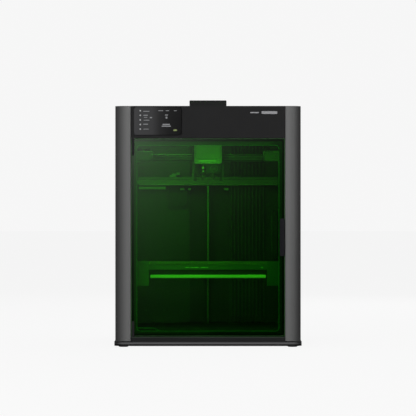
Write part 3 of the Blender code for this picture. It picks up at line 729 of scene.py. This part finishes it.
def make_rear_wall():
    """Purge chute, the ledge's lines, small fittings, rib highlights and a cable duct."""
    outer = rounded((-0.1110, -0.0580), (0.3610, 0.4160), 0.003)
    inner = rounded((-0.1085, -0.0605), (0.3635, 0.4135), 0.002)
    ring("purge_chute_rim", outer, inner, (WALL_Y - 0.010, WALL_Y), "chute_grey", axis="Y", smooth=True)
    floor = (-0.1085, -0.0605), (WALL_Y - 0.0015, WALL_Y - 0.0003), (0.3635, 0.4135)
    blocks("purge_chute_floor", [floor], "chute_grey")
    low, high = low_high("rear_ledge")
    wide = (low.x + 0.004, high.x - 0.004)
    spans = wide, (low.y - 0.0012, low.y + 0.0002), (low.z + 0.0005, low.z + 0.0028)
    bevelled("ledge_lower_line", *spans, "bed_grey", bevel=0.0004)
    bevelled("ledge_mid_seam", wide, (low.y - 0.0006, low.y), (0.4340, 0.4348), "rubber", bevel=0.0001)
    parts = (-0.093, 0.012, 0.446, 0.008), (-0.082, 0.008, 0.450, 0.006), (-0.101, 0.008, 0.444, 0.004)
    spans = [(about(x, w / 2), (0.174, 0.190), (z - h / 2 - 0.001, z + h / 2)) for x, w, z, h in parts]
    soften(blocks("wiper_parts", spans, "aluminium", smooth=True), 0.0006)
    clips = [
        (about(x, w / 2), (0.184, 0.195), (0.4050, 0.4105))
        for x, w in ((-0.0705, 0.012), (-0.0510, 0.008), (0.0500, 0.012))
    ]
    soften(blocks("ledge_clips", clips, "aluminium", smooth=True), 0.0006)
    ribs = [0.062 + i * 0.0099 for i in range(10)]
    lines = [((x + 0.0014, x + 0.0026), (0.1916, 0.1921), (0.060, 0.412)) for x in ribs]
    blocks("rib_highlights", lines, "frame_grey")
    edges = [(about(x, 0.0005), (0.1945, 0.1962), (0.045, 0.412)) for x in (-0.0515, 0.0595)]
    blocks("wall_edge_lines", edges, "chute_grey")
    places = [(x, WALL_Y - 0.0005, z) for x in (-0.170, -0.120, -0.070) for z in (0.075, 0.330)]
    rods("wall_screws", [(place, 0.0028, 0.0012) for place in places], "wall_dark", axis="Y", sides=16)
    bevelled("side_cable_clip", (0.1725, 0.1745), (0.150, 0.153), (0.235, 0.335), "frame_grey", bevel=0.0005)
    bevelled("side_cable_duct", (0.1755, 0.1900), (0.150, 0.190), (0.215, 0.350), "dark_plastic", bevel=0.0015)


def make_screw_threads():
    """A rolled thread on each lead screw, from just above its pulley to its top."""
    root_radius, crest, pitch, steps = 0.0039, 0.0044, 0.004, 12
    profile = ((root_radius, -0.0011), (crest, 0.0), (root_radius, 0.0011))
    start = 0.0345
    for name in ("left", "right", "rear"):
        low, high = low_high(f"{name}_lead_screw")
        centre = (low + high) / 2
        count = int((high.z - 0.004 - start) / pitch * steps)
        bm = bmesh.new()
        rows = []
        for i in range(count + 1):
            turn = 2 * math.pi * i / steps
            level = start + pitch * i / steps
            rows.append([
                bm.verts.new((centre.x + r * math.cos(turn), centre.y + r * math.sin(turn), level + dz))
                for r, dz in profile
            ])
        for first, second in zip(rows, rows[1:]):
            for a, b in ((0, 1), (1, 2), (2, 0)):
                bm.faces.new((first[a], second[a], second[b], first[b]))
        bm.faces.new(rows[0])
        bm.faces.new(rows[-1])
        piece_from(f"{name}_thread", bm, "screw_steel", f"{name}_screw", smooth=True)


def make_bed():
    """The plate's grid, the heated bed's line and marks, the carrier's webs, bracket detail and nuts."""
    low, high = low_high("build_plate")
    span = (high.z - 0.0001, high.z + 0.00015)
    grid = []
    for i in range(1, 8):
        grid.append((about(low.x + (high.x - low.x) * i / 8, 0.0002), (low.y + 0.006, high.y - 0.006), span))
        grid.append(((low.x + 0.006, high.x - 0.006), about(low.y + (high.y - low.y) * i / 8, 0.0002), span))
    blocks("plate_grid", grid, "aluminium", "bed")
    low, high = low_high("heatbed")
    line = (low.x + 0.004, high.x - 0.004), (low.y - 0.0006, low.y + 0.0002), (high.z - 0.0014, high.z - 0.0002)
    blocks("heatbed_top_line", [line], "bed_grey", "bed")
    ticks = (-0.054, 0.010), (-0.041, 0.007), (-0.030, 0.010), (-0.012, 0.013), (-0.002, 0.004), (0.140, 0.006)
    spans = [(about(x, w / 2), (low.y - 0.0009, low.y), (0.2010, 0.2032)) for x, w in ticks]
    blocks("heatbed_marks", spans, "bed_bar", "bed")
    webs = [(about(-0.130 + i * 0.020, 0.007), (-0.1735, -0.1713), (0.1868, 0.1940)) for i in range(14)]
    blocks("carrier_webs", webs, "wall_dark", "bed")
    low, high = low_high("bed_front_bar")
    line = (low.x + 0.003, high.x - 0.003), about(low.y, 0.0004), (low.z + 0.0008, low.z + 0.0016)
    blocks("bar_lower_line", [line], "cover_grey", "bed")
    for side, name in ((-1, "left"), (1, "right")):
        face = low_high(f"bed_{name}_bracket")[0].y
        a, b = mirrored(side, 0.1560, 0.1800)
        inner = rounded((a + 0.0018, b - 0.0018), (0.1618, 0.2112), 0.002)
        bm = bmesh.new()
        add_ring(bm, rounded((a, b), (0.1600, 0.2130), 0.003), inner, (face - 0.0012, face), "Y")
        for level in (0.1770, 0.1930):
            add_block(bm, (a + 0.002, b - 0.002), (face - 0.0010, face), about(level, 0.0008))
        piece_from(f"{name}_bracket_rim", bm, "bed_grey", "bed", smooth=True)
        places = [(side * 0.1680, face, level) for level in (0.1690, 0.2050)]
        screws(f"{name}_bracket_screws", places, 0.0032, "bed_grey", "bed", depth=0.0022)
        outlines = circles(side * 0.189, -0.120, 0.0072, 0.0050)
        ring(f"{name}_lead_nut", *outlines, (0.1900, 0.1945), "brass", "bed", smooth=True)
    ring("rear_lead_nut", *circles(0, 0.182, 0.0092, 0.0050), (0.1955, 0.2005), "brass", "bed", smooth=True)


def make_gantry():
    """Linear rail, cross belts and rear inset of the beam, and plates and idlers of its carriages."""
    low, high = low_high("cross_beam")
    middle = (low.z + high.z) / 2
    rail = (low.x + 0.004, high.x - 0.004), (low.y - 0.0004, low.y + 0.0003), about(middle, 0.0030)
    blocks("cross_rail", [rail], "rail", "gantry")
    wide = (low.x + 0.002, high.x - 0.002)
    levels = (low.z + 0.0022, high.z - 0.0022)
    belts = [(wide, (low.y - 0.0003, low.y + 0.0004), about(level, 0.0009)) for level in levels]
    blocks("cross_belts", belts, "rubber", "gantry")
    inset = wide, about(high.y, 0.0002), (low.z + 0.004, high.z - 0.004)
    blocks("beam_rear_inset", [inset], "dark_plastic", "gantry")
    for side, name in ((-1, "left"), (1, "right")):
        low, high = low_high(f"{name}_y_carriage")
        plate = rounded(mirrored(side, 0.150, 0.186), (0.4815, 0.5045), 0.003)
        span = (low.y - 0.0006, low.y + 0.0002)
        prisms(f"{name}_carriage_plate", [plate], span, "carriage_plate", "Y", "gantry", smooth=True)
        shapes = [((side * x, -0.050, high.z + 0.0030), 0.0085, 0.006) for x in (0.158, 0.180)]
        rods(f"{name}_idlers", shapes, "motor_black", "gantry", sides=28)


def make_tool_head():
    """Cover seam and light strip, side plates, ducts, shroud, fan guard, tool lamp and cable block."""
    low, high = low_high("tool_head_cover")
    spans = (-0.0235, 0.0225), about(low.y, 0.0004), (0.4780, 0.4802)
    bevelled("cover_light_strip", *spans, "strip", "tool_head", bevel=0.0002)
    outer = rounded((low.x + 0.0030, high.x - 0.0030), (0.4840, high.z - 0.0030), 0.004)
    inner = rounded((low.x + 0.0036, high.x - 0.0036), (0.4846, high.z - 0.0036), 0.0035)
    ring("cover_seam", outer, inner, (low.y - 0.0001, low.y + 0.0003), "wall_dark", "tool_head", "Y")
    for side, name in ((-1, "left"), (1, "right")):
        spans = mirrored(side, 0.0362, 0.0410), (-0.1292, -0.1279), (0.4275, 0.4700)
        bevelled(f"{name}_cheek_plate", *spans, "cheek_grey", "tool_head", bevel=0.0005)
        spans = mirrored(side, 0.0300, 0.0405), (-0.1275, -0.0985), (0.4265, 0.4395)
        bevelled(f"{name}_duct", *spans, "dark_plastic", "tool_head", bevel=0.0015)
    outer = rounded((-0.0345, 0.0345), (0.4470, 0.4710), 0.004)
    inner = rounded((-0.0320, -0.0060), (0.4490, 0.4690), 0.004)
    ring("hotend_shroud", outer, inner, (-0.1262, -0.1235), "wall_dark", "tool_head", "Y", smooth=True)
    x, z = 0.0160, 0.4590
    bm = bmesh.new()
    add_ring(bm, *circles(x, z, 0.0098, 0.0086), (-0.1280, -0.1262), "Y")
    for i in range(4):
        turn = Matrix.Rotation(math.pi * i / 4, 3, "Y")
        made = add_block(bm, (-0.009, 0.009), (-0.0004, 0.0004), (-0.0005, 0.0005), turn)
        bmesh.ops.translate(bm, vec=(x, -0.1271, z), verts=made)
    piece_from("tool_fan_guard", bm, "bed_grey", "tool_head", smooth=True)
    bm = bmesh.new()
    add_rod(bm, (-0.0125, -0.1266, 0.4520), 0.0016, 0.0012, "Y")
    add_block(bm, (-0.0150, -0.0100), (-0.1272, -0.1260), (0.4595, 0.4618))
    piece_from("tool_lamp", bm, "lamp", "tool_head", smooth=True)
    spans = (-0.0240, 0.0240), (-0.0950, -0.0745), (0.5152, 0.5290)
    bevelled("cable_block", *spans, "dark_plastic", "tool_head", bevel=0.0020)
    shapes = []
    for x in (-0.014, 0.014):
        shapes.append(((x, -0.085, 0.5325), 0.0050, 0.007))
        shapes.append(((x, -0.085, 0.5375), 0.0036, 0.004))
    rods("head_tube_fittings", shapes, "motor_black", "tool_head")


def make_drive():
    """XY belts along the side beams, with their front idlers and the rails' screws."""
    for side, name in ((-1, "left"), (1, "right")):
        belts = [(mirrored(side, 0.2010, 0.2022), (-0.205, 0.190), (z, z + 0.006)) for z in (0.5030, 0.5110)]
        blocks(f"{name}_side_belts", belts, "rubber")
        x, y = side * 0.2085, -0.2020
        shapes = ((x, y, 0.5095), 0.0078, 0.016), ((x, y, 0.5185), 0.0088, 0.002)
        rods(f"{name}_front_idler", shapes, "aluminium", sides=28)
        shapes = [((side * 0.1942, -0.190 + i * 0.052, 0.4922), 0.0020, 0.0006) for i in range(8)]
        rods(f"{name}_rail_screws", shapes, "steel", sides=14)


# ---------------------------------------------------------------- stage, light and camera


def make_world():
    """A bright world for the camera, and a dimmer one for light."""
    world = bpy.data.worlds.new("studio")
    bpy.context.scene.world = world
    world.use_nodes = True
    tree = world.node_tree
    back = tree.nodes["Background"]
    back.inputs["Color"].default_value = (AMBIENT, AMBIENT, AMBIENT, 1)
    seen = tree.nodes.new("ShaderNodeBackground")
    seen.inputs["Color"].default_value = (BACKGROUND, BACKGROUND, BACKGROUND, 1)
    rays = tree.nodes.new("ShaderNodeLightPath")
    mix = tree.nodes.new("ShaderNodeMixShader")
    link(tree, rays.outputs["Is Camera Ray"], mix.inputs["Fac"])
    link(tree, back.outputs["Background"], mix.inputs[1])
    link(tree, seen.outputs["Background"], mix.inputs[2])
    link(tree, mix.outputs["Shader"], tree.nodes["World Output"].inputs["Surface"])


def stage_piece(name, bm, finish, unseen_by):
    """A piece of the set, which no diffuse ray sees, nor the rays named."""
    mesh = bpy.data.meshes.new(name)
    bm.to_mesh(mesh)
    bm.free()
    mesh.materials.append(finish)
    made = bpy.data.objects.new(name, mesh)
    bpy.context.scene.collection.objects.link(made)
    made.visible_diffuse = False
    for ray in unseen_by:
        setattr(made, f"visible_{ray}", False)


def card_glow():
    """A material that only shines, most of all where the door's top left corner mirrors it."""
    made = bpy.data.materials.new("card_glow")
    made.use_nodes = True
    tree = made.node_tree
    tree.nodes.clear()
    out = tree.nodes.new("ShaderNodeOutputMaterial")
    shine = tree.nodes.new("ShaderNodeEmission")
    link(tree, shine.outputs["Emission"], out.inputs["Surface"])
    place = tree.nodes.new("ShaderNodeNewGeometry")
    aim = tree.nodes.new("ShaderNodeVectorMath")
    aim.operation = "DOT_PRODUCT"
    aim.inputs[1].default_value = (-1 / CARD_FALL_RIGHT, 0, 1 / CARD_FALL_DOWN)
    link(tree, place.outputs["Position"], aim.inputs[0])
    value = aim.outputs["Value"]
    for operation, limit in (("SUBTRACT", CARD_LEVEL), ("EXPONENT", None), ("MINIMUM", CARD_MOST)):
        step = tree.nodes.new("ShaderNodeMath")
        step.operation = operation
        if limit is not None:
            step.inputs[1].default_value = limit
        link(tree, value, step.inputs[0])
        value = step.outputs["Value"]
    link(tree, value, shine.inputs["Strength"])
    return made


def make_stage():
    """A pale floor that matches the world, and a card that the door mirrors."""
    bm = bmesh.new()
    bmesh.ops.create_grid(bm, x_segments=1, y_segments=1, size=30.0)
    made, _, shader = nodes_of("pale_floor")
    shader.inputs["Base Color"].default_value = (0.03, 0.03, 0.03, 1)
    shader.inputs["Roughness"].default_value = 0.9
    shader.inputs["Specular IOR Level"].default_value = 0.0
    shader.inputs["Emission Color"].default_value = (1, 1, 1, 1)
    shader.inputs["Emission Strength"].default_value = BACKGROUND - 0.025
    stage_piece("floor", bm, made, ("glossy",))
    bm = bmesh.new()
    a, b = -CARD_HALF_WIDTH, CARD_HALF_WIDTH
    corners = ((a, CARD_LOW), (b, CARD_LOW), (b, CARD_HIGH), (a, CARD_HIGH))
    bm.faces.new([bm.verts.new((x, CARD_Y, z)) for x, z in corners])
    stage_piece("reflection_card", bm, card_glow(), ("camera", "shadow"))


def area_light(name, place, aim, size, power):
    data = bpy.data.lights.new(name, "AREA")
    data.shape = "RECTANGLE"
    data.size, data.size_y = size
    data.energy = power
    made = bpy.data.objects.new(name, data)
    made.location = place
    made.rotation_euler = (Vector(aim) - Vector(place)).to_track_quat("-Z", "Y").to_euler()
    bpy.context.scene.collection.objects.link(made)
    return made


def make_lights():
    """Soft boxes round the object, and lamps in the chamber that read through the green door."""
    middle = (0, 0, 0.3)
    room = [
        area_light("key", (-0.9, -2.6, 1.9), middle, (1.6, 1.6), 66),
        area_light("fill", (1.6, -2.2, 1.0), middle, (1.4, 1.4), 16),
        area_light("top", (0, 0.3, 2.6), middle, (1.8, 1.8), 28),
        area_light("back", (0.8, 2.6, 1.6), middle, (1.6, 1.6), 46),
        area_light("left", (-2.6, 0.2, 1.3), middle, (1.4, 1.4), 18),
        area_light("right", (2.6, 0.2, 1.3), middle, (1.4, 1.4), 18),
    ]
    for lamp in room:
        lamp.visible_glossy = lamp.name == "fill"
    chamber = [
        area_light("chamber_upper", (-0.09, -0.060, 0.590), (0.02, 0.15, 0.25), (0.26, 0.06), 0.95),
        area_light("chamber_front", (-0.05, -0.205, 0.46), (0.0, -0.13, 0.18), (0.30, 0.015), 0.35),
        area_light("chamber_left", (-0.170, -0.02, 0.400), (0.0, 0.19, 0.33), (0.02, 0.20), 0.25),
        area_light("door_wash_left", (-0.095, -0.2497, 0.28), (-0.095, 0.2, 0.28), (0.19, 0.49), 0.145),
        area_light("door_wash_right", (0.082, -0.2497, 0.37), (0.082, 0.2, 0.37), (0.164, 0.31), 0.068),
        area_light("chamber_lower", (0.0, -0.15, 0.130), (0.02, 0.19, 0.04), (0.32, 0.02), 0.50),
        area_light("cover_wash", (-0.005, -0.236, 0.500), (-0.005, -0.13, 0.500), (0.07, 0.05), 0.028),
        area_light("rib_graze", (0.085, 0.180, 0.4165), (0.085, 0.200, 0.30), (0.16, 0.006), 0.010),
    ]
    for lamp in chamber:
        lamp.visible_camera = False
        lamp.visible_glossy = lamp.name.startswith("door_wash")


def make_camera():
    data = bpy.data.cameras.new("camera")
    data.lens = LENS
    data.sensor_width = SENSOR_WIDTH
    data.clip_end = 200.0
    made = bpy.data.objects.new("camera", data)
    made.location = (0, CAD_BOX[0].y - CAMERA_DISTANCE, CAMERA_HEIGHT)
    made.rotation_euler = (math.pi / 2, 0, 0)
    bpy.context.scene.collection.objects.link(made)
    bpy.context.scene.camera = made
    bpy.context.scene.view_settings.view_transform = "Standard"


make_camera()
dress_cad()
make_header()
make_columns()
make_base()
make_door()
make_sides()
make_top()
make_rear()
make_rear_wall()
make_screw_threads()
make_bed()
make_gantry()
make_tool_head()
make_drive()
make_world()
make_stage()
make_lights()
